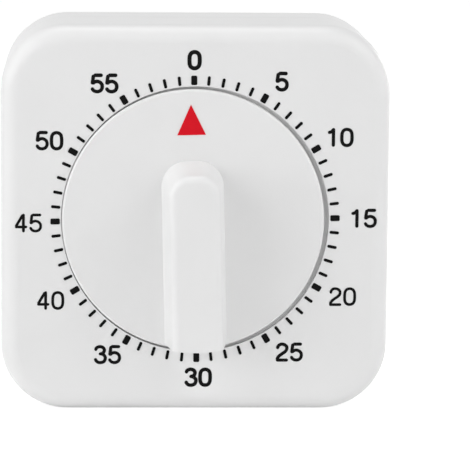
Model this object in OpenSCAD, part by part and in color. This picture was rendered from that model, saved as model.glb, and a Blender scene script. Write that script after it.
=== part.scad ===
// Mechanical kitchen timer: square two-part case, flush dial with a tall grip,
// spring-driven gear train with an anchor escapement, and a hammer that strikes a bell at zero.
// Millimetres, +Z up, face towards -Y, standing on the plane z = 0.

/* [Case] */
// Width and height of the square case
case_size = 60; // [60:0.5:72]
// Depth of the case, without the dial
case_depth = 26; // [26:0.5:32]
// Radius of the case's four corners, seen from the front
corner_r = 10.3; // [9:0.1:12]
// Rounding round the edge of the face
face_edge_r = 2.7; // [2:0.1:4]
// Rounding round the edge of the back
back_edge_r = 1.4; // [0.6:0.1:1.8]
// Thickness of the case walls
wall = 2; // [1.6:0.1:2.2]
// Depth from the face to the seam between the two shells
seam_depth = 15; // [14:0.5:16]

/* [Dial] */
// Radius of the round opening that the dial turns in
opening_r = 20.65; // [20:0.05:21]
// Gap round the dial disc when it is in the middle of the opening
dial_gap = 0.42; // [0.4:0.01:0.6]
// How far the dial and the movement sit left of the middle
dial_shift = 0.32; // [0:0.01:0.35]
// How far the dial disc stands proud of the face
dial_proud = 0.4; // [0.2:0.05:1]
// Turn of the dial at rest, anticlockwise from upright
dial_rest = 1.5; // [0:0.1:3]
// Height of the grip above the dial disc
grip_h = 11.5; // [9:0.5:14]
// Width of the grip at its foot
grip_w = 9.6; // [8.5:0.1:11]
// Width of the grip's front face
grip_top_w = 7.7; // [6.8:0.1:8]
// Reach of the grip's upper end above the dial's centre
grip_reach = 9.2; // [7:0.1:11]
// Radius of the two corners at the grip's upper end, measured at its foot
grip_corner_r = 4; // [3:0.1:4.2]
// Rounding along the edges of the grip's front face
grip_edge_r = 1.2; // [0.6:0.1:1.6]
// Width of the red pointer
pointer_w = 4.4; // [3:0.1:6]
// Length of the red pointer
pointer_len = 4.7; // [3:0.1:5.5]
// Distance of the pointer's tip from the dial's centre
pointer_tip = 17.9; // [17:0.1:19]

/* [Scale] */
// Distance from the opening to the ring of minute marks
mark_gap = 0.2; // [0.1:0.01:0.6]
// Length of a minute mark
mark_len = 1.45; // [1.2:0.05:1.8]
// Width of the marks at every fifth minute
mark_wide = 0.92; // [0.8:0.02:1.2]
// Width of the other marks
mark_fine = 0.46; // [0.3:0.02:0.7]
// Turn of the printed scale, anticlockwise from upright
scale_turn = 0.8; // [0:0.1:1.5]

/* [Movement] */
// Module of the main wheel and the pinion that it drives
main_module = 0.4; // [0.39:0.002:0.41]
// Module of the second wheel and its pinion
second_module = 0.3; // [0.29:0.002:0.31]
// Module of the third wheel and its pinion
third_module = 0.28; // [0.27:0.002:0.285]
// Slack between meshing teeth, measured round the pitch circle
backlash = 0.08; // [0.06:0.01:0.12]
// Radial clearance of a pivot in its hole
pivot_gap = 0.05; // [0.03:0.01:0.08]
// Outer radius of the bell
bell_r = 19.5; // [19.2:0.1:20.5]

/* [Hidden] */
$fn = 72;
eps = 0.01;

// Fits
fit = 0.02;
slide = 0.1;

// Screws
case_screw_r = 1.25;
case_head_r = 2.3;
case_head_h = 1.9;
case_thread = 4.5;
plate_thread = 4;
mount_thread = 3;
thread_room = 1;
plate_screw_r = 1;
mount_screw_r = 0.9;
small_head_r = 1.9;
small_head_h = 1.2;
bell_screw_r = 1;
bell_head_r = 2;

// Shell and well
half = case_size / 2;
corner_c = half - corner_r;
lip_len = 1.5;
seam_gap = 0.15;
well_depth = 3;
floor_t = 1.4;
floor_back = well_depth + floor_t;
well_ring_r = opening_r + 1.4;
hub_hole_r = 4.5;
boss_r = 3;
mount_boss_r = 2.2;
bell_post_r = 3;
boss_at = corner_c + (corner_r - wall - boss_r + 0.2) / sqrt(2);
back_t = 1.8;
back_inner = case_depth - back_t;
head_sink = 4;
head_seat = case_depth - head_sink;

// Dial
dial_r = opening_r - dial_gap;
disc_t = 2.2;
disc_back = disc_t - dial_proud;
hub_r = 3.6;
rim_r = 0.4;
rim_lap = 0.9;
rim_back = 0.8;
ledge_d = 1.2;
grip_core = 1.5;
grip_sink = 0.6;
grip_lean = 1.1;
grip_low = dial_r - rim_r - 0.1;
stop_r = 15;
stop_deg = 2.4;
stop_at = 150;
dial_travel = 354;
stop_gap_deg = (360 - dial_travel - 2 * stop_deg) / 2;

// Print
print_t = 0.06;
mark_in_r = opening_r + mark_gap;

// Depths of the movement, counted from the face
plate_t = 1;
front_plate_d = floor_back + 0.6;
bay_d = front_plate_d + plate_t;
bell_post_h = 1.6;
bell_h = 4.4;
hammer_room = 0.8;
bay_len = back_inner - bell_post_h - bell_h - hammer_room - plate_t - bay_d;
rear_plate_d = bay_d + bay_len;
rear_plate_back = rear_plate_d + plate_t;
endshake = 0.15;
spring_d = bay_d + 0.6;
spring_h = bay_len - 6;
main_d = spring_d + spring_h + 0.6;
main_t = 1.2;
second_d = main_d + main_t + 0.65;
thin_t = 0.8;
escape_d = second_d;
third_d = second_d + thin_t + 0.8;
cam_d = third_d - 0.2;
cam_t = 1;
bell_mouth = rear_plate_back + hammer_room;
bell_t = 0.6;
bell_edge_r = bell_h / 2;

// Movement plates
plate_half = half - wall - 1.2;
plate_cut = 2 * boss_at - sqrt(2) * (boss_r + 0.8);
pillar_r = 2;
pillar_at = plate_cut / 2 - sqrt(2) / 2 * (pillar_r + 0.6);
mount_at = (well_ring_r + half - wall) / 2 - 0.8;
rivet_r = 1.2;

// Gear train
main_teeth = 72;
second_teeth = 64;
third_teeth = 60;
pinion_teeth = 8;
escape_teeth = 16;
pressure = 20;
tooth_shift = 0.53;
addendum = 0.8;
dedendum = 1.05;
arbor_r = 0.75;
pivot_r = 0.5;
main_a = (main_teeth + pinion_teeth) / 2 * main_module;
second_a = (second_teeth + pinion_teeth) / 2 * second_module;
third_a = (third_teeth + pinion_teeth) / 2 * third_module;
ring_r = main_a + 1;
escape_r = 4.8;
bar_w = 1.6;
bar_end_r = 1.2;
bar_d = bay_d + 1;
pallet_deg = 3.5 * 360 / escape_teeth / 2;
anchor_a = escape_r / cos(pallet_deg);
second_deg = 200;
third_deg = second_deg - span_deg(main_a, ring_r, second_a);
escape_deg = third_deg - span_deg(ring_r, ring_r, third_a);
anchor_deg = escape_deg - span_deg(ring_r, ring_r + 0.5, anchor_a);
second_at = polar(main_a, second_deg);
third_at = polar(ring_r, third_deg);
escape_at = polar(ring_r, escape_deg);
anchor_at = polar(ring_r + 0.5, anchor_deg);

// Spindle
spindle_r = 2;
spindle_flat = 1.4;
spindle_reach = 7;
rear_pivot_r = 1;
spring_hub_r = 3;
seat_r = 1.75;
cam_seat_r = 1.5;
clutch_r = 5;
clutch_t = 0.3;
clutch_gap = 0.05;
collar_r = 3.2;

// Mainspring
strip_t = 0.35;
strip_turns = 6;
strip_in_r = spring_hub_r + 0.35;
strip_out_r = 11;
post_r = 0.8;
spring_end = -60;
post_at = polar(strip_out_r + 1, spring_end);

// Striking work
cam_r = 6.2;
cam_drop = 1;
hammer_at = polar(ring_r - 0.5, -17);
hammer_arbor_r = 1;
follower_tip_r = 0.5;
follower_tip = polar(cam_r + follower_tip_r + 0.1, 25);
head_r = 1.5;
head_pin_r = 0.6;
arm_d = rear_plate_back + 0.1;
arm_t = hammer_room - 0.2;
head_gap = 1.2;
head_at = polar(bell_r - bell_t - head_gap - head_r, -70);
spring_foot = [pillar_at, pillar_at];

function polar(r, a) = [r * cos(a), r * sin(a)];

// Angle at the spindle between two arbors at radii r1 and r2, a apart
function span_deg(r1, r2, a) = acos((r1 * r1 + r2 * r2 - a * a) / (2 * r1 * r2));

function heading(p, q) = atan2(q[1] - p[1], q[0] - p[0]);

// Involute angle of a pressure angle, in degrees
function inv(a) = tan(a) * 180 / PI - a;

// Half the angle that a tooth fills at radius r
function tooth_deg(n, m, x, r) =
    let(base = n * m / 2 * cos(pressure),
        width = m * (PI / 2 + 2 * x * tan(pressure)) - backlash / 2)
    width / (n * m) * 180 / PI + inv(pressure) - inv(r > base ? acos(base / r) : 0);

// Radii at which the flank of a tooth is drawn, root first
function flank_radii(n, m, x) =
    let(base = n * m / 2 * cos(pressure) + eps,
        root = m * (n / 2 - dedendum + x),
        tip = m * (n / 2 + addendum + x),
        start = max(base, root))
    concat(root < base ? [root] : [], [start, (start + tip) / 2, tip]);

function gear_points(n, m, x) =
    let(radii = flank_radii(n, m, x), last = len(radii) - 1)
    [for (k = [0:n - 1], side = [-1, 1], i = [0:last])
        let(r = radii[side < 0 ? i : last - i])
        polar(r, 360 * k / n + side * tooth_deg(n, m, x, r))];

function wheel_points(n, m) = gear_points(n, m, -tooth_shift);

function spiral(turns, r1, r2, t) =
    let(steps = turns * 24)
    [for (side = [-1, 1], i = [0:steps])
        let(k = side < 0 ? i : steps - i)
        polar(r1 + (r2 - r1) * k / steps + side * t / 2, 15 * k)];

// Radius of the release cam: a slow rise, then a sheer drop at zero
function cam_radius(a) = a < 60 ? cam_r - cam_drop * a / 60 : cam_r - cam_drop;

// Frames

// Face of the case: x right, y up, z out towards the user
module face_frame() {
    translate([0, -case_depth / 2, half]) rotate([90, 0, 0]) children();
}

// The same, on the axis of the dial
module dial_frame() {
    face_frame() translate([-dial_shift, 0, 0]) children();
}

// The dial and what turns with it, at rest
module turned_frame() {
    dial_frame() rotate(dial_rest) children();
}

module slab(d, t) {
    translate([0, 0, -d - t]) linear_extrude(t) children();
}

module rod(r, d1, d2) {
    translate([0, 0, -d2]) cylinder(r = r, h = d2 - d1);
}

module four(a) {
    for (sx = [-1, 1], sy = [-1, 1]) translate([sx * a, sy * a, 0]) children();
}

module four_sides(a) {
    for (k = [0:3]) rotate(90 * k) translate([a, 0, 0]) children();
}

// Outlines

module rounded_square(s, r) {
    square([s, s - 2 * r], center = true);
    square([s - 2 * r, s], center = true);
    four(s / 2 - r) circle(r);
}

// Wall of a shell seen in section: the outer corner is rounded
module edge_section(r, depth, edge_r) {
    translate([0, -depth]) square([r - edge_r, depth]);
    translate([0, -depth]) square([r, depth - edge_r]);
    translate([r - edge_r, -edge_r]) circle(edge_r);
}

// Half of the case as a solid block, its rounded face on z = 0
module shell_block(depth, edge_r) {
    translate([-corner_c, -corner_c, -depth]) cube([2 * corner_c, 2 * corner_c, depth]);
    for (k = [0:3]) rotate(90 * k) {
        translate([corner_c, corner_c, 0])
            rotate_extrude(angle = 90) edge_section(corner_r, depth, edge_r);
        translate([corner_c, corner_c, 0]) rotate([90, 0, 0])
            linear_extrude(2 * corner_c) edge_section(corner_r, depth, edge_r);
    }
}

module plate_outline() {
    intersection() {
        square(2 * plate_half, center = true);
        rotate(45) square(sqrt(2) * plate_cut, center = true);
    }
}

module pivot_holes() {
    for (p = [second_at, third_at, escape_at, anchor_at])
        translate(p) circle(pivot_r + pivot_gap);
}

module strut(p, q, w) {
    translate(p) rotate(heading(p, q)) translate([0, -w / 2]) square([norm(q - p), w]);
}

// Case

module case_cavity(d1, d2) {
    slab(d1, d2 - d1) rounded_square(case_size - 2 * wall, corner_r - wall);
}

module lip_ring(d1, d2, gap) {
    slab(d1, d2 - d1) difference() {
        rounded_square(case_size - wall + 2 * gap, corner_r - wall / 2 + gap);
        rounded_square(case_size - 2 * wall, corner_r - wall);
    }
}

// One half of the end stop: a rib on the well floor, or a lug under the dial
module stop_block(d1, d2, a) {
    w = stop_r * stop_deg * PI / 180;
    rotate(a) translate([stop_r - 1.5, -w / 2, -d2]) cube([3, w, d2 - d1]);
}

module front_case() {
    color("white") face_frame() difference() {
        union() {
            difference() {
                shell_block(seam_depth, face_edge_r);
                case_cavity(wall, seam_depth + 1);
            }
            rod(well_ring_r, wall / 2, floor_back);
            four(boss_at) rod(boss_r, wall / 2, seam_depth);
            four_sides(mount_at) rod(mount_boss_r, wall / 2, front_plate_d);
        }
        rod(opening_r, -1, ledge_d);
        translate([-dial_shift, 0, 0]) difference() {
            rod(dial_r - rim_lap, 0, well_depth);
            stop_block(well_depth - 0.9, well_depth + 1, stop_at);
        }
        rod(hub_hole_r, 0, floor_back + 1);
        four(boss_at) rod(case_screw_r + fit, seam_depth - case_thread - thread_room, seam_depth + 1);
        four_sides(mount_at) rod(mount_screw_r + fit, front_plate_d - mount_thread - 0.2, front_plate_d + 1);
        lip_ring(seam_depth - lip_len - slide, seam_depth + 1, slide / 2);
    }
}

module sound_slots() {
    for (k = [-3:3])
        let(len = 2 * sqrt(pow(bell_r * 0.72, 2) - pow(3.6 * k, 2)))
        translate([0, 3.6 * k]) {
            square([len, 1.6], center = true);
            for (s = [-1, 1]) translate([s * len / 2, 0]) circle(0.8);
        }
}

module rear_case() {
    color("white") face_frame() difference() {
        union() {
            difference() {
                translate([0, 0, -case_depth]) rotate([180, 0, 0])
                    shell_block(case_depth - seam_depth - seam_gap, back_edge_r);
                case_cavity(seam_depth - 1, back_inner);
            }
            four(boss_at) rod(boss_r, seam_depth + fit, back_inner + 1);
            rod(bell_post_r, bell_mouth + bell_h, back_inner + 1);
            lip_ring(seam_depth - lip_len, seam_depth + 1, -slide / 2);
        }
        four(boss_at) {
            rod(case_screw_r + 0.15, seam_depth - 1, head_seat + 1);
            rod(case_head_r + 0.3, head_seat, case_depth + 1);
        }
        difference() {
            slab(back_inner - 1, 4) sound_slots();
            rod(bell_post_r + 2, back_inner - 2, case_depth + 4);
        }
        rod(bell_screw_r + fit, bell_mouth, back_inner + 0.4);
    }
}

// A screw driven towards the face: its head lies behind depth d
module screw(d, len, r, head, head_h) {
    difference() {
        union() {
            rod(r, d - len, d + eps);
            rod(head, d, d + head_h);
        }
        for (a = [0, 90]) rotate(a)
            translate([-head * 0.6, -head * 0.12, -d - head_h - 1])
            cube([head * 1.2, head * 0.24, 1 + head_h * 0.55]);
    }
}

module case_screws() {
    color("silver") face_frame() four(boss_at)
        screw(head_seat, head_seat - seam_depth + case_thread, case_screw_r, case_head_r, case_head_h);
}

// A printed mark with its corners taken off, lying outwards from x = 0
module mark_shape(len, w) {
    c = 0.14;
    polygon([[c, -w / 2], [len - c, -w / 2], [len, c - w / 2], [len, w / 2 - c], [len - c, w / 2],
        [c, w / 2], [0, w / 2 - c], [0, c - w / 2]]);
}

module minute_marks() {
    color("black") face_frame() rotate(scale_turn) for (k = [0:59])
        rotate(90 - 6 * k) linear_extrude(print_t) translate([mark_in_r, 0])
        mark_shape(mark_len, k % 5 == 0 ? mark_wide : mark_fine);
}

// Movement frame

module front_plate() {
    color("silver") dial_frame() slab(front_plate_d, plate_t) difference() {
        plate_outline();
        circle(spindle_r + pivot_gap);
        pivot_holes();
        translate(hammer_at) circle(pivot_r + pivot_gap);
        translate(post_at) circle(post_r + fit);
        four(pillar_at) circle(rivet_r + fit);
        four_sides(mount_at) circle(mount_screw_r + 0.5);
    }
}

module rear_plate() {
    color("silver") dial_frame() slab(rear_plate_d, plate_t) difference() {
        plate_outline();
        circle(rear_pivot_r + pivot_gap);
        pivot_holes();
        translate(hammer_at) circle(hammer_arbor_r + pivot_gap);
        four(pillar_at) circle(plate_screw_r + fit);
        four_sides(mount_at) circle(small_head_r + 0.5);
    }
}

// A pillar is riveted into the front plate and tapped for a screw at the rear
module plate_pillars() {
    color("silver") dial_frame() four(pillar_at) difference() {
        union() {
            rod(rivet_r, front_plate_d, bay_d + 1);
            rod(pillar_r, bay_d, rear_plate_d);
        }
        rod(plate_screw_r + fit, rear_plate_d - plate_thread - 0.4, rear_plate_d + 1);
    }
}

module plate_screws() {
    color("silver") dial_frame() four(pillar_at)
        screw(rear_plate_back, plate_t + plate_thread, plate_screw_r, small_head_r, small_head_h);
}

module movement_screws() {
    color("silver") face_frame() four_sides(mount_at)
        screw(bay_d, plate_t + mount_thread, mount_screw_r, small_head_r, small_head_h);
}

module spring_post() {
    color("silver") dial_frame() translate(post_at) rod(post_r, front_plate_d, spring_d + spring_h + 0.2);
}

module mainspring() {
    color("steelblue") dial_frame() rotate(spring_end) difference() {
        union() {
            slab(spring_d, spring_h) polygon(spiral(strip_turns, strip_in_r, strip_out_r, strip_t));
            slab(spring_d, spring_h) translate([strip_in_r - 1, -0.2]) square([1, 0.4]);
            slab(spring_d, spring_h) translate([strip_out_r + 1, 0]) circle(post_r + 0.4);
        }
        translate([strip_out_r + 1, 0, 0]) rod(post_r + fit, spring_d - 1, spring_d + spring_h + 1);
    }
}

// Bell

module bell_section(r, h, edge) {
    square([r - edge, h]);
    square([r, h - edge]);
    translate([r - edge, h - edge]) circle(edge);
}

module bell() {
    color("gold") face_frame() translate([0, 0, -bell_mouth]) rotate([180, 0, 0])
        rotate_extrude() difference() {
            bell_section(bell_r, bell_h, bell_edge_r);
            translate([0, -eps]) bell_section(bell_r - bell_t, bell_h - bell_t + eps, bell_edge_r - bell_t);
            translate([0, bell_h - 1]) square([bell_screw_r + fit, 2]);
        }
}

module bell_screw() {
    color("silver") face_frame() difference() {
        union() {
            rod(bell_screw_r, bell_mouth + bell_h - bell_t - eps, back_inner + 0.2);
            rod(bell_head_r, bell_mouth + bell_h - bell_t - 1.2, bell_mouth + bell_h - bell_t);
        }
        translate([-bell_head_r - 1, -0.3, -bell_mouth - bell_h + bell_t + 0.6])
            cube([2 * bell_head_r + 2, 0.6, 2]);
    }
}

// Dial

// Section across the grip, foot on y = 0: drafted sides, rounded top edges
module grip_section(foot, top, h, edge) {
    lean = atan2((foot - top) / 2, h);
    inset = edge * tan(45 - lean / 2);
    turn_y = h - inset * cos(lean);
    turn_x = foot / 2 - turn_y * tan(lean);
    polygon([
        [-foot / 2, -grip_sink], [foot / 2, -grip_sink], [foot / 2, 0], [turn_x, turn_y],
        [top / 2 - inset, h], [inset - top / 2, h], [-turn_x, turn_y], [-foot / 2, 0]
    ]);
    // A hair over the edge radius, so that the circles cross the sides and don't just touch them
    for (s = [-1, 1]) translate([s * (top / 2 - inset), h - edge]) circle(edge + 0.004);
}

// Outer half of the section round a corner of the grip's upper end
module corner_section(foot, top, h, edge) {
    intersection() {
        grip_section(2 * grip_corner_r, 2 * grip_corner_r - foot + top, h, edge);
        translate([0, -h]) square([foot, 3 * h]);
    }
}

// Grip bar: two round corners at the upper end, low end cut to a steep cone about the dial's axis
module grip_bar(foot, top, h, edge, reach, low) {
    end_v = reach - grip_corner_r;
    corner_u = foot / 2 - grip_corner_r;
    intersection() {
        translate([0, end_v, 0]) union() {
            rotate([90, 0, 0]) linear_extrude(end_v + low + 1) grip_section(foot, top, h, edge);
            for (s = [0, 1]) translate([(1 - 2 * s) * corner_u, 0, 0]) rotate(90 * s)
                rotate_extrude(angle = 90) corner_section(foot, top, h, edge);
            translate([-corner_u, 0, 0]) rotate([90, 0, 90])
                linear_extrude(2 * corner_u) corner_section(foot, top, h, edge);
        }
        rotate_extrude() polygon([[0, -2 * grip_sink], [low, -2 * grip_sink], [low, 0],
            [low - grip_lean, h], [low - grip_lean, 2 * h], [0, 2 * h]]);
    }
}

module dial_disc() {
    rotate_extrude() difference() {
        translate([0, -disc_back]) square([dial_r, disc_t]);
        translate([dial_r - rim_lap - 3 * slide, -disc_t]) square([3, disc_t - rim_back]);
        translate([dial_r - rim_r, dial_proud - rim_r]) difference() {
            square(1);
            circle(rim_r);
        }
    }
}

// Hollow under the grip, either side of the hub
module grip_hollow() {
    w = grip_top_w - 2 * grip_core;
    end_v = grip_reach - grip_w / 2;
    low = grip_low - grip_lean - 2 * grip_core;
    top = disc_t + grip_h - grip_core;
    difference() {
        translate([0, 0, -disc_back - eps]) union() {
            translate([-w / 2, -low, 0]) cube([w, low + end_v, top + eps]);
            translate([0, end_v, 0]) cylinder(r = w / 2, h = top + eps);
        }
        rod(hub_r, -2 * grip_h, front_plate_d);
    }
}

module dial_knob() {
    color("white") turned_frame() difference() {
        union() {
            dial_disc();
            translate([0, 0, dial_proud])
                grip_bar(grip_w, grip_top_w, grip_h, grip_edge_r, grip_reach, grip_low);
            rod(hub_r, disc_back / 2, front_plate_d - 0.3);
            stop_block(disc_back / 2, disc_back + 0.9, stop_at - stop_deg - stop_gap_deg - dial_rest);
        }
        grip_hollow();
        spindle_bore();
    }
}

module spindle_bore() {
    intersection() {
        rod(spindle_r + fit, -spindle_reach - fit, front_plate_d);
        translate([-3, -spindle_flat - fit, -front_plate_d - 1]) cube([6, 6, front_plate_d + 10]);
    }
}

module pointer_mark() {
    color("crimson") turned_frame() translate([0, 0, dial_proud]) linear_extrude(print_t)
        polygon([[-pointer_w / 2, pointer_tip - pointer_len], [pointer_w / 2, pointer_tip - pointer_len],
            [0, pointer_tip]]);
}

module spindle() {
    color("silver") turned_frame() difference() {
        union() {
            rod(spindle_r, -spindle_reach, bay_d + endshake);
            rod(spring_hub_r, bay_d + endshake, main_d - 0.05);
            rod(seat_r, main_d - 0.06, cam_d - 0.5);
            rod(cam_seat_r, cam_d - 0.51, rear_plate_d - endshake);
            rod(rear_pivot_r, rear_plate_d - endshake - eps, rear_plate_back + 0.2);
        }
        translate([-3, -spindle_flat - 3, -floor_back - 0.2]) cube([6, 3, 20]);
        rotate(spring_end - dial_rest)
            translate([strip_in_r - 1.1, -0.25, -spring_d - spring_h - 0.1]) cube([3, 0.5, spring_h + 0.2]);
    }
}

// Dished washer that grips the main wheel against the spindle's shoulder
module clutch_spring() {
    color("steelblue") turned_frame() translate([0, 0, -main_d - main_t - clutch_gap]) rotate([180, 0, 0])
        rotate_extrude() polygon([[clutch_r, 0], [clutch_r, clutch_t],
            [seat_r + fit, 2 * clutch_t], [seat_r + fit, clutch_t]]);
}

module clutch_collar() {
    color("goldenrod") turned_frame() difference() {
        rod(collar_r, main_d + main_t + clutch_gap + 2 * clutch_t, cam_d - 0.7);
        rod(seat_r + fit, main_d, cam_d);
    }
}

module release_cam() {
    color("goldenrod") turned_frame() slab(cam_d, cam_t) difference() {
        rotate(31 - dial_rest) polygon([for (a = [0:4:356]) polar(cam_radius(a), a)]);
        circle(cam_seat_r + fit);
    }
}

// Gear train

module toothed_wheel(n, m, bore, holes_at, holes_r, turn) {
    difference() {
        rotate(turn) polygon(wheel_points(n, m));
        circle(bore);
        for (k = [0:4]) rotate(72 * k) translate([holes_at, 0]) circle(holes_r);
    }
}

// An arbor with its pinion, running in both plates
module pinion_arbor(m, d, t, turn) {
    rod(arbor_r, bay_d + endshake, rear_plate_d - endshake);
    rod(pivot_r, front_plate_d, rear_plate_back);
    slab(d - 0.4, t + 0.8) rotate(turn) polygon(gear_points(pinion_teeth, m, tooth_shift));
}

function gap_facing(p, q) = heading(p, q) + 180 / pinion_teeth;

module main_wheel() {
    color("goldenrod") dial_frame() slab(main_d, main_t)
        toothed_wheel(main_teeth, main_module, seat_r + pivot_gap, 9.6, 2.6, second_deg);
}

module second_arbor() {
    color("silver") dial_frame() translate(second_at)
        pinion_arbor(main_module, main_d, main_t, gap_facing(second_at, [0, 0]));
}

module second_wheel() {
    color("goldenrod") dial_frame() translate(second_at) slab(second_d, thin_t)
        toothed_wheel(second_teeth, second_module, arbor_r + fit, 5.4, 2, heading(second_at, third_at));
}

module third_arbor() {
    color("silver") dial_frame() translate(third_at)
        pinion_arbor(second_module, second_d, thin_t, gap_facing(third_at, second_at));
}

module third_wheel() {
    color("goldenrod") dial_frame() translate(third_at) slab(third_d, thin_t)
        toothed_wheel(third_teeth, third_module, arbor_r + fit, 4.6, 1.7, heading(third_at, escape_at));
}

module escape_arbor() {
    color("silver") dial_frame() translate(escape_at)
        pinion_arbor(third_module, third_d, thin_t, gap_facing(escape_at, third_at));
}

module escape_wheel() {
    pitch = 360 / escape_teeth;
    root = escape_r - 1.1;
    color("goldenrod") dial_frame() translate(escape_at) slab(escape_d, thin_t) difference() {
        rotate(heading(escape_at, anchor_at)) polygon([for (k = [0:escape_teeth - 1], s = [-5, -1, 1, 5])
            polar(abs(s) == 1 ? escape_r : root, pitch * k + s)]);
        circle(arbor_r + fit);
    }
}

module anchor_arbor() {
    color("silver") dial_frame() translate(anchor_at) {
        rod(arbor_r, bay_d + endshake, rear_plate_d - endshake);
        rod(pivot_r, front_plate_d, rear_plate_back);
    }
}

// Lever with two pallets that drop in turn into the escape wheel
module anchor() {
    reach = escape_r + 0.06;
    nib = escape_r + 1.4;
    d = escape_d - 0.1;
    t = thin_t + 0.2;
    color("silver") dial_frame() translate(escape_at) rotate(heading(escape_at, anchor_at) - 90)
        difference() {
            union() {
                translate([0, anchor_a, 0]) rod(anchor_a - escape_r - 0.1, d, d + t);
                for (s = [-1, 1]) {
                    slab(d, t) strut([0, anchor_a], polar(nib - 0.1, 90 - s * pallet_deg), 1.1);
                    slab(d, t) rotate(90 - s * pallet_deg)
                        polygon([[reach, -0.15], [reach, 0.15], [nib, 0.45], [nib, -0.45]]);
                }
            }
            translate([0, anchor_a, 0]) rod(arbor_r + fit, d - 1, d + t + 1);
        }
}

module balance_bar() {
    reach = anchor_a - arbor_r - bar_end_r - 0.6;
    color("goldenrod") dial_frame() translate(anchor_at) rotate(anchor_deg + 90)
        slab(bar_d, bar_w) difference() {
            union() {
                square([2 * reach, bar_w], center = true);
                circle(bar_w);
                for (s = [-1, 1]) translate([s * reach, 0]) circle(bar_end_r);
            }
            circle(arbor_r + fit);
        }
}

// Striking work

module hammer_arbor() {
    color("silver") dial_frame() translate(hammer_at) {
        rod(pivot_r, front_plate_d, bay_d + 1);
        rod(hammer_arbor_r, bay_d + endshake, arm_d + arm_t);
    }
}

module cam_follower() {
    color("silver") dial_frame() slab(cam_d, cam_t) difference() {
        union() {
            translate(hammer_at) circle(2.2);
            strut(hammer_at, follower_tip, 2 * follower_tip_r);
            translate(follower_tip) circle(follower_tip_r);
        }
        translate(hammer_at) circle(hammer_arbor_r + fit);
    }
}

module hammer_arm() {
    color("silver") dial_frame() slab(arm_d, arm_t) difference() {
        union() {
            translate(hammer_at) circle(1.9);
            strut(hammer_at, head_at, 1.6);
            translate(head_at) circle(1.2);
        }
        translate(hammer_at) circle(hammer_arbor_r + fit);
        translate(head_at) circle(head_pin_r + fit);
    }
}

module hammer_head() {
    color("goldenrod") dial_frame() translate(head_at) {
        rod(head_pin_r, arm_d, arm_d + arm_t + eps);
        rod(head_r, arm_d + arm_t, bell_mouth + bell_h - bell_t - 1);
    }
}

// Leaf clipped round a pillar, its curled end pressing on the follower
module hammer_spring() {
    side = heading(hammer_at, follower_tip) - 90;
    tip = (hammer_at + follower_tip) / 2 + polar(2 * follower_tip_r + 0.05, side);
    color("steelblue") dial_frame() slab(cam_d + 0.1, cam_t - 0.2) difference() {
        union() {
            translate(spring_foot) circle(pillar_r + 0.5);
            strut(spring_foot - [pillar_r + 0.2, 0], tip, 0.3);
            translate(tip) circle(follower_tip_r);
        }
        translate(spring_foot) circle(pillar_r + fit);
    }
}

front_case();
rear_case();
case_screws();
minute_marks();
front_plate();
rear_plate();
plate_pillars();
plate_screws();
movement_screws();
spring_post();
mainspring();
bell();
bell_screw();
hammer_spring();
dial_knob();
pointer_mark();
spindle();
clutch_spring();
clutch_collar();
release_cam();
main_wheel();
second_arbor();
second_wheel();
third_arbor();
third_wheel();
escape_arbor();
escape_wheel();
anchor_arbor();
anchor();
balance_bar();
hammer_arbor();
cam_follower();
hammer_arm();
hammer_head();
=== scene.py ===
import math

import bpy
from mathutils import Matrix, Vector


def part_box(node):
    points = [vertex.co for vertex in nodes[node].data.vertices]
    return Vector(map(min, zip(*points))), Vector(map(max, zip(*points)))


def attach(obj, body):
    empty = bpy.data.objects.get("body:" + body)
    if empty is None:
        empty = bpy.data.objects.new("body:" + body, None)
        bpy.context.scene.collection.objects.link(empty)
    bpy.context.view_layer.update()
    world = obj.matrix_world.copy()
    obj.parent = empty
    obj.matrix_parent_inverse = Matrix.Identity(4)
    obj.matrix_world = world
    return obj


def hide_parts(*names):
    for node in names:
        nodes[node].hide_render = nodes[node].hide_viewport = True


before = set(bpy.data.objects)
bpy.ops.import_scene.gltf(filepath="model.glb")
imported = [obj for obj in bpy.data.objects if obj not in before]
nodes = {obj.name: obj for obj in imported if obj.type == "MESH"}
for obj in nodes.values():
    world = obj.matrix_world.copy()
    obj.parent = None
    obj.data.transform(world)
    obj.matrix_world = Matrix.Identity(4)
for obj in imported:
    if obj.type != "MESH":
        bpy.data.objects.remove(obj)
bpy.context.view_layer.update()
scene = bpy.context.scene
scene.view_settings.view_transform = "Standard"
print("frame loaded,", len(nodes), "nodes")

# lengths in the dictionaries are in millimetres, apart from the stage
mm = 0.001
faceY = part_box("front_case")[0].y  # plane of the printed face
faceMiddle = 30  # height of the face's middle above the floor

# camera: almost straight on, a little above and a little left
cameraLook = {
    "azimuth": -1.95, "elevation": 8.45, "roll": 0.4,  # degrees
    "distance": 480, "pixelsPerMm": 6.49,
    "offset": (-39.75, -15.2),  # middle of the face against the middle of the image, pixels
    "image": 470, "sensor": 36, "clip": (10, 20000),
}


def makeCamera(look):
    az, el, roll = (math.radians(look[k]) for k in ("azimuth", "elevation", "roll"))
    back = Vector((math.sin(az) * math.cos(el), -math.cos(az) * math.cos(el), math.sin(el)))
    right = (-back).cross(Vector((0, 0, 1))).normalized()
    up = right.cross(-back)
    sideways = right * math.cos(roll) + up * math.sin(roll)
    upright = up * math.cos(roll) - right * math.sin(roll)
    target = Vector((0, faceY, faceMiddle * mm))
    data = bpy.data.cameras.new("camera")
    data.sensor_width = look["sensor"]
    data.lens = look["pixelsPerMm"] * look["distance"] * look["sensor"] / look["image"]
    data.shift_x = -look["offset"][0] / look["image"]
    data.shift_y = look["offset"][1] / look["image"]
    data.clip_start, data.clip_end = (end * mm for end in look["clip"])
    camera = bpy.data.objects.new("camera", data)
    scene.collection.objects.link(camera)
    turn = Matrix((sideways, upright, back)).transposed().to_4x4()
    camera.matrix_world = Matrix.Translation(target + back * look["distance"] * mm) @ turn
    scene.camera = camera


makeCamera(cameraLook)
print("camera placed")


# materials

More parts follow.
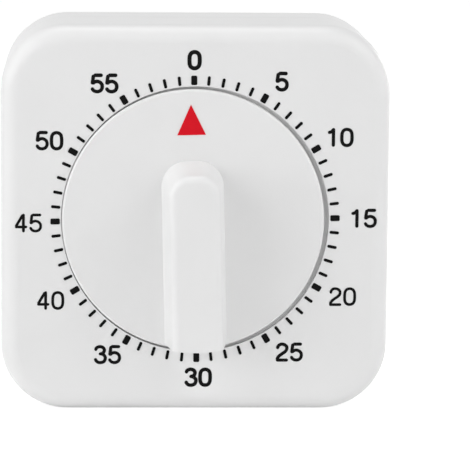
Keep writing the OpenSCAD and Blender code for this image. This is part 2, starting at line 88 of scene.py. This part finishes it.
def linear(code):
    parts = [int(code[i:i + 2], 16) / 255 for i in (1, 3, 5)]
    return tuple(c / 12.92 if c <= 0.04045 else ((c + 0.055) / 1.055) ** 2.4 for c in parts) + (1,)


def add(tree, kind, links=None, **settings):
    node = tree.nodes.new(kind)
    for name, value in settings.items():
        setattr(node, name, value)
    for name, value in (links or {}).items():
        if isinstance(value, bpy.types.NodeSocket):
            tree.links.new(value, node.inputs[name])
        else:
            node.inputs[name].default_value = value
    return node


def newMaterial(name):
    material = bpy.data.materials.new(name)
    material.use_nodes = True
    tree = material.node_tree
    shader = tree.nodes["Principled BSDF"]
    place = add(tree, "ShaderNodeTexCoord").outputs["Object"]
    return material, tree, shader, place


mixLow, mixHigh, mixed = 6, 7, 2  # colour sockets of the Mix node


# one pattern shades the colour, and the same or a finer one the gloss and the relief
def patterned(tree, shader, shade, grain, look):
    tint = add(tree, "ShaderNodeMix", {
        "Factor": shade.outputs["Fac"],
        mixLow: linear(look["colours"][0]), mixHigh: linear(look["colours"][1]),
    }, data_type="RGBA")
    tree.links.new(tint.outputs[mixed], shader.inputs["Base Color"])
    gloss = add(tree, "ShaderNodeMapRange", {
        "Value": grain.outputs["Fac"],
        "To Min": look["gloss"][0], "To Max": look["gloss"][1],
    })
    tree.links.new(gloss.outputs[0], shader.inputs["Roughness"])
    if "bump" in look:
        bump = add(tree, "ShaderNodeBump", {
            "Height": grain.outputs["Fac"],
            "Strength": look["bump"], "Distance": look["relief"] * mm,
        })
        tree.links.new(bump.outputs[0], shader.inputs["Normal"])


def dress(names, material):
    for name in names:
        slots = nodes[name].data.materials
        for i in range(len(slots)):
            slots[i] = material


# ABS moulded in a spark-eroded tool: satin, a soft wide highlight, a faint cloud in the white
absLook = {
    "colours": ("#E4E4E4", "#E9E9E9"), "cloud": 14, "grain": 0.45,
    "gloss": (0.36, 0.44), "bump": 0.2, "relief": 0.05, "ior": 1.53,
}


def mouldedAbs(name, look):
    material, tree, shader, place = newMaterial(name)
    cloud = add(tree, "ShaderNodeTexNoise", {
        "Vector": place, "Scale": 1 / (look["cloud"] * mm), "Detail": 2})
    # the real grain is near 0.1 mm, drawn coarser here so that it shows
    grain = add(tree, "ShaderNodeTexNoise", {
        "Vector": place, "Scale": 1 / (look["grain"] * mm), "Detail": 3})
    patterned(tree, shader, cloud, grain, look)
    shader.inputs["IOR"].default_value = look["ior"]
    return material


dress(["front_case", "rear_case"], mouldedAbs("abs_white_case", absLook))
dress(["dial_knob"], mouldedAbs("abs_white_dial", {**absLook, "cloud": 9, "grain": 0.4}))

# pad-printed ink: a thin flat film, matt beside the plastic, slightly uneven in cover
inkLook = {
    "black": ("#030303", "#080808"), "red": ("#D21020", "#DC1828"),
    "patch": 0.5, "gloss": (0.62, 0.78), "sheen": 0.1,
}


def printedInk(name, colours, look):
    material, tree, shader, place = newMaterial(name)
    cover = add(tree, "ShaderNodeTexNoise", {
        "Vector": place, "Scale": 1 / (look["patch"] * mm), "Detail": 4})
    patterned(tree, shader, cover, cover, {**look, "colours": colours})
    shader.inputs["Specular IOR Level"].default_value = look["sheen"]
    return material


blackInk = printedInk("ink_black", inkLook["black"], inkLook)
dress(["minute_marks"], blackInk)
dress(["pointer_mark"], printedInk("ink_red", inkLook["red"], inkLook))

# rolled, drawn and stamped metals: fine lines along the working direction break up the highlight
metalRelief = 0.02
rolledLooks = {
    # bright zinc on sheet steel: pale and cool, long lines
    "steel_zinc_plated": {
        "colours": ("#B9BCBF", "#CDD0D2"), "line": 0.12, "length": 6,
        "gloss": (0.26, 0.42), "bump": 0.12, "relief": metalRelief,
        "nodes": ["front_plate", "rear_plate", "anchor", "cam_follower", "hammer_arm"]},
    # bar steel turned to size: greyer and glossier, a fine speckle
    "steel_turned": {
        "colours": ("#A9ACAF", "#C3C6C8"), "line": 0.1, "length": 0.1,
        "gloss": (0.22, 0.36), "bump": 0.08, "relief": metalRelief,
        "nodes": ["case_screws", "plate_pillars", "plate_screws", "movement_screws",
                  "spring_post", "bell_screw", "spindle", "second_arbor", "third_arbor",
                  "escape_arbor", "anchor_arbor", "hammer_arbor"]},
    # strip tempered to a dark blue grey, smooth from rolling
    "spring_steel_tempered": {
        "colours": ("#5D646E", "#7C848F"), "line": 0.08, "length": 4,
        "gloss": (0.24, 0.34), "bump": 0.06, "relief": metalRelief,
        "nodes": ["mainspring", "clutch_spring", "hammer_spring"]},
    # stamped sheet brass: warm yellow, short lines
    "brass_stamped": {
        "colours": ("#C79B4E", "#DDB467"), "line": 0.1, "length": 3,
        "gloss": (0.28, 0.4), "bump": 0.1, "relief": metalRelief,
        "nodes": ["clutch_collar", "release_cam", "balance_bar", "hammer_head"]},
}


def rolledMetal(name, look):
    material, tree, shader, place = newMaterial(name)
    along, across = 1 / (look["length"] * mm), 1 / (look["line"] * mm)
    run = add(tree, "ShaderNodeMapping", {"Vector": place, "Scale": (along, across, across)})
    # real lines are near 0.02 mm, drawn coarser here so that they show
    lines = add(tree, "ShaderNodeTexNoise", {"Vector": run.outputs[0], "Scale": 1, "Detail": 2})
    patterned(tree, shader, lines, lines, look)
    shader.inputs["Metallic"].default_value = 1
    return material


for name, look in rolledLooks.items():
    dress(look["nodes"], rolledMetal(name, look))

# wheels and the bell are faced on a lathe: rings round their own axis catch the light in turn
ringLook = {
    "pitch": 0.3, "gloss": (0.24, 0.34), "bump": 0.1, "relief": metalRelief,
    "finishes": {
        "brass_faced": {
            "colours": ("#CDA253", "#DFB76B"),
            "nodes": ["main_wheel", "second_wheel", "third_wheel", "escape_wheel"]},
        "steel_nickel_plated": {"colours": ("#C4C3BC", "#D8D6CE"), "nodes": ["bell"]},
    },
}
ringsPerUnit = 3.2  # rings in one unit of the wave pattern


def ringedMetal(node, finish, look):
    material, tree, shader, place = newMaterial(finish + "_" + node)
    low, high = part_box(node)
    middle = (low + high) / 2
    centred = add(tree, "ShaderNodeMapping", {"Vector": place, "Location": -middle})
    # a lathe leaves rings near 0.1 mm apart, drawn coarser here so that they show
    rings = add(tree, "ShaderNodeTexWave", {
        "Vector": centred.outputs[0], "Scale": 1 / (look["pitch"] * mm * ringsPerUnit),
        "Distortion": 1.5, "Detail": 2, "Detail Scale": 2,
    }, wave_type="RINGS", rings_direction="Y")
    patterned(tree, shader, rings, rings, look)
    shader.inputs["Metallic"].default_value = 1
    return material


for finish, look in ringLook["finishes"].items():
    for node in look["nodes"]:
        dress([node], ringedMetal(node, finish, {**ringLook, **look}))
print("materials on the frame")


# steps that the modelled pieces share

def selectOnly(first, *others):
    bpy.ops.object.select_all(action="DESELECT")
    for obj in (first, *others):
        obj.select_set(True)
    bpy.context.view_layer.objects.active = first


def editAll():
    bpy.ops.object.mode_set(mode="EDIT")
    bpy.ops.mesh.select_all(action="SELECT")


def combine(piece, operation, other):
    change = piece.modifiers.new("combine", "BOOLEAN")
    change.operation = operation
    change.solver = "EXACT"
    change.object = other
    bpy.ops.object.modifier_apply(modifier=change.name)
    bpy.data.objects.remove(other)


# numbers printed round the scale: upright, drawn with a round pen, some inked more heavily
numberLook = {
    "height": 2.9, "thick": 0.06,
    "step": 2.22,  # from one digit to the next
    "pointGap": 3, "penEnd": 0.35,  # hundredths of the height, and least width of a round end
    "finer": 0.02, "weld": 1e-4, "leastEdge": 0.002,
    "pens": {"broad": 0.63, "heavy": 0.575, "firm": 0.515, "fine": 0.435},  # width of the stroke
    "places": {  # middle of each number, right and up from the scale's centre, and its pen
        "0": (-0.27, 24.68, "broad"), "5": (13.15, 21.42, "heavy"),
        "10": (22.13, 12.85, "firm"), "15": (25.93, 0.27, "firm"),
        "20": (22.9, -11.98, "fine"), "25": (14.74, -20.73, "firm"),
        "30": (0.59, -24.7, "heavy"), "35": (-13.48, -21.14, "firm"),
        "40": (-22.27, -12.64, "fine"), "45": (-25.68, -0.56, "fine"),
        "50": (-22.46, 12.21, "firm"), "55": (-14.04, 21.05, "heavy"),
    },
}
# middle line of every stroke, in hundredths of the height, with the foot of the digit at 0
digitTop = 100
digitStrokes = {
    "0": [[(0, 93), (16, 88), (25, 74), (27, 50), (25, 26), (16, 12), (0, 7),
           (-16, 12), (-25, 26), (-27, 50), (-25, 74), (-16, 88), (0, 93)]],
    "1": [[(5, 0), (5, 100)], [(-25, 76), (-11, 78), (-1, 85), (4, 97)]],
    "2": [[(-25, 66), (-22, 81), (-12, 91), (1, 93), (15, 89), (24, 79), (24, 64), (14, 51),
           (-2, 40), (-17, 28), (-25, 16), (-27, 6)], [(-33, 6.5), (32, 6.5)]],
    "3": [[(-25, 70), (-20, 86), (-4, 93), (12, 90), (21, 80), (21, 68), (13, 57),
           (-1, 54), (-8, 54)],
          [(-1, 54), (14, 51), (25, 41), (27, 28), (20, 13), (5, 7), (-10, 8),
           (-22, 17), (-27, 31)]],
    "4": [[(12, 0), (12, 100)], [(10, 96), (-29, 30)], [(-33, 29), (32, 29)]],
    "5": [[(-20, 93.5), (30, 93.5)], [(-19, 97), (-26, 44)],
          [(-26, 46), (-15, 57), (0, 61), (15, 56), (25, 44), (26, 27), (18, 13), (3, 7),
           (-12, 9), (-22, 16), (-29, 29)]],
}


# a smooth curve through the points of a stroke, closed where it ends at its start
def penPath(line, gap):
    ends = [line[0]] + list(line) + [line[-1]]
    if line[0] == line[-1]:
        ends[0], ends[-1] = line[-2], line[1]
    knots = [Vector(p) for p in ends]
    path = []
    for a, b, c, d in zip(knots, knots[1:], knots[2:], knots[3:]):
        steps = max(2, round((c - b).length / gap))
        for i in range(steps):
            t = i / steps
            path.append(b + (c - a) * (t / 2) + (2 * a - 5 * b + 4 * c - d) * (t * t / 2)
                        + (3 * b - a - 3 * c + d) * (t ** 3 / 2))
    return path if line[0] == line[-1] else path + [knots[-1]]


# strokes are tubes at a thousand times their size, so that they merge cleanly
def drawStroke(line, stroke, look):
    bpy.ops.object.select_all(action="DESELECT")
    bpy.ops.curve.primitive_bezier_curve_add(radius=mm, location=(0, 0, 0))
    curve = bpy.context.object.data
    curve.splines.clear()
    size = look["height"] / digitTop
    path = penPath(line, look["pointGap"])
    spline = curve.splines.new("POLY")
    spline.points.add(len(path) - 1)
    spline.use_cyclic_u = line[0] == line[-1]
    for point, at in zip(spline.points, path):
        point.co = (at.x * size, (at.y - digitTop / 2) * size, 0, 1)
        near = min((at - path[0]).length, (at - path[-1]).length) * size / (stroke / 2)
        if not spline.use_cyclic_u and near < 1:
            point.radius = max(look["penEnd"], math.sqrt(1 - (1 - near) ** 2))
    curve.dimensions = "3D"
    curve.bevel_depth = stroke / 2
    curve.bevel_resolution = 2
    curve.use_fill_caps = True
    bpy.ops.object.convert(target="MESH")
    editAll()
    bpy.ops.mesh.remove_doubles(threshold=look["weld"])
    bpy.ops.mesh.normals_make_consistent(inside=False)
    bpy.ops.object.mode_set(mode="OBJECT")
    return bpy.context.object


def drawDigit(digit, stroke, look):
    # each further stroke is a hair finer, so that two strokes never share a surface
    drawn, *others = [drawStroke(line, stroke * (1 - look["finer"] * i), look)
                      for i, line in enumerate(digitStrokes[digit])]
    selectOnly(drawn)
    for other in others:
        combine(drawn, "UNION", other)
    editAll()
    bpy.ops.mesh.remove_doubles(threshold=look["leastEdge"])
    bpy.ops.mesh.dissolve_degenerate(threshold=look["leastEdge"])
    bpy.ops.mesh.select_all(action="SELECT")
    flat = (mm, mm, mm * look["thick"] / stroke)
    bpy.ops.transform.resize(value=flat, center_override=(0, 0, 0))
    bpy.ops.object.mode_set(mode="OBJECT")
    return drawn


def placeNumbers(look):
    masters = {}
    copies = []
    for label, (x, z, pen) in look["places"].items():
        for i, digit in enumerate(label):
            if digit + pen not in masters:
                masters[digit + pen] = drawDigit(digit, look["pens"][pen], look)
            selectOnly(masters[digit + pen])
            bpy.ops.object.duplicate()
            copy = bpy.context.object
            along = (i - (len(label) - 1) / 2) * look["step"]
            copy.location = (
                (x + along) * mm, faceY - look["thick"] / 2 * mm, (faceMiddle + z) * mm)
            copy.rotation_euler = (math.pi / 2, 0, 0)
            bpy.ops.object.transform_apply(location=True, rotation=True, scale=True)
            copies.append(copy)
    selectOnly(*copies)
    bpy.ops.object.join()
    numbers = bpy.context.object
    numbers.name = "minute_numbers"
    for master in masters.values():
        bpy.data.objects.remove(master)
    numbers.data.materials.clear()
    numbers.data.materials.append(blackInk)
    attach(numbers, "case")


placeNumbers(numberLook)
print("numbers printed")

# the mainspring is cut at its hub: the tongue turns with the spindle, the coil stays with the case
springLook = {
    "hub": 3.08,  # radius of the cut, just outside the spindle's hub
    "gap": 0.04, "sides": 96, "weld": 1e-4,
    "pieces": {
        "mainspring_tongue": ("INTERSECT", "dial"),
        "mainspring_coil": ("DIFFERENCE", "case"),
    },
}


def splitSpring(look):
    low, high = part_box("clutch_collar")
    axis = (low + high) / 2
    low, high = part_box("mainspring")
    for name, (cut, body) in look["pieces"].items():
        piece = bpy.data.objects.new(name, nodes["mainspring"].data.copy())
        scene.collection.objects.link(piece)
        radius = look["hub"] + (look["gap"] if cut == "DIFFERENCE" else 0)
        bpy.ops.object.select_all(action="DESELECT")
        bpy.ops.mesh.primitive_cylinder_add(
            vertices=look["sides"], radius=radius * mm, depth=(high.y - low.y) * 2,
            location=(axis.x, (low.y + high.y) / 2, axis.z), rotation=(math.pi / 2, 0, 0))
        cutter = bpy.context.object
        selectOnly(piece)
        editAll()
        bpy.ops.mesh.remove_doubles(threshold=look["weld"] * mm)
        bpy.ops.object.mode_set(mode="OBJECT")
        combine(piece, cut, cutter)
        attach(piece, body)
        if body == "case":
            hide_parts("mainspring")


splitSpring(springLook)
print("mainspring cut at its hub")

# floor, light and background, in metres
stageLook = {
    "floor": "#FBFBFB", "floorSize": 6,
    "seenFloor": 0.48, "seenGlow": 0.8,  # what the eye meets: white paper that keeps its shadow
    "world": 0.09,  # light that the background gives the object
    "aim": (0, 0, 0.03),
    "lamps": {
        "front": {"at": (-0.5, -1.2, 0.3), "size": 0.8, "watts": 1.3},
        "left": {"at": (-1.2, -0.2, 0.15), "size": 0.6, "watts": 3.7},
        "upperLeft": {"at": (-0.9, -0.75, 0.45), "size": 0.9, "watts": 4.5},
        "aboveLeft": {"at": (-0.85, -0.1, 0.85), "size": 0.5, "watts": 1.8},
        "above": {"at": (-0.1, 0, 1.2), "size": 0.6, "watts": 3.85},
        "aboveRight": {"at": (0.8, -0.5, 0.9), "size": 0.6, "watts": 1.85},
        "upperRight": {"at": (0.8, -0.9, 0.5), "size": 1.4, "watts": 5.25},
        "right": {"at": (1.2, -0.2, 0.2), "size": 0.6, "watts": 2.9},
        "behind": {"at": (0.9, 0.9, 0.2), "size": 0.6, "watts": 3.2},
    },
}
white = linear("#FFFFFF")


# 1 where the camera, a reflection or clear material looks, 0 for light on its way to the object
def lookedAt(tree):
    path = add(tree, "ShaderNodeLightPath")
    either = add(tree, "ShaderNodeMath", {
        0: path.outputs["Is Camera Ray"], 1: path.outputs["Is Glossy Ray"],
    }, operation="MAXIMUM")
    anyOf = add(tree, "ShaderNodeMath", {
        0: either.outputs[0], 1: path.outputs["Is Transmission Ray"],
    }, operation="MAXIMUM")
    return anyOf.outputs[0]


def layFloor(look):
    bpy.ops.object.select_all(action="DESELECT")
    bpy.ops.mesh.primitive_plane_add(size=look["floorSize"], location=(0, 0, 0))
    floor = bpy.context.object
    floor.name = "floor"
    material = bpy.data.materials.new("paper_floor")
    material.use_nodes = True
    tree = material.node_tree
    tree.nodes.clear()
    lit = add(tree, "ShaderNodeBsdfDiffuse", {"Color": linear(look["floor"])})
    shade = add(tree, "ShaderNodeBsdfDiffuse", {"Color": (look["seenFloor"],) * 3 + (1,)})
    glow = add(tree, "ShaderNodeEmission", {"Color": white, "Strength": look["seenGlow"]})
    seen = add(tree, "ShaderNodeAddShader", {0: shade.outputs[0], 1: glow.outputs[0]})
    mix = add(tree, "ShaderNodeMixShader", {
        0: lookedAt(tree), 1: lit.outputs[0], 2: seen.outputs[0]})
    add(tree, "ShaderNodeOutputMaterial", {"Surface": mix.outputs[0]})
    floor.data.materials.append(material)


def setBackground(look):
    world = bpy.data.worlds.new("studio")
    scene.world = world
    world.use_nodes = True
    tree = world.node_tree
    tree.nodes.clear()
    strength = add(tree, "ShaderNodeMapRange", {
        "Value": lookedAt(tree), "To Min": look["world"], "To Max": 1})
    sky = add(tree, "ShaderNodeBackground", {"Color": white, "Strength": strength.outputs[0]})
    add(tree, "ShaderNodeOutputWorld", {"Surface": sky.outputs[0]})


def hangLamps(look):
    for name, lamp in look["lamps"].items():
        data = bpy.data.lights.new(name, "AREA")
        data.shape = "DISK"
        data.size = lamp["size"]
        data.energy = lamp["watts"]
        obj = bpy.data.objects.new(name, data)
        scene.collection.objects.link(obj)
        at = Vector(lamp["at"])
        turn = (Vector(look["aim"]) - at).to_track_quat("-Z", "Y").to_matrix().to_4x4()
        obj.matrix_world = Matrix.Translation(at) @ turn


layFloor(stageLook)
setBackground(stageLook)
hangLamps(stageLook)
print("stage lit")
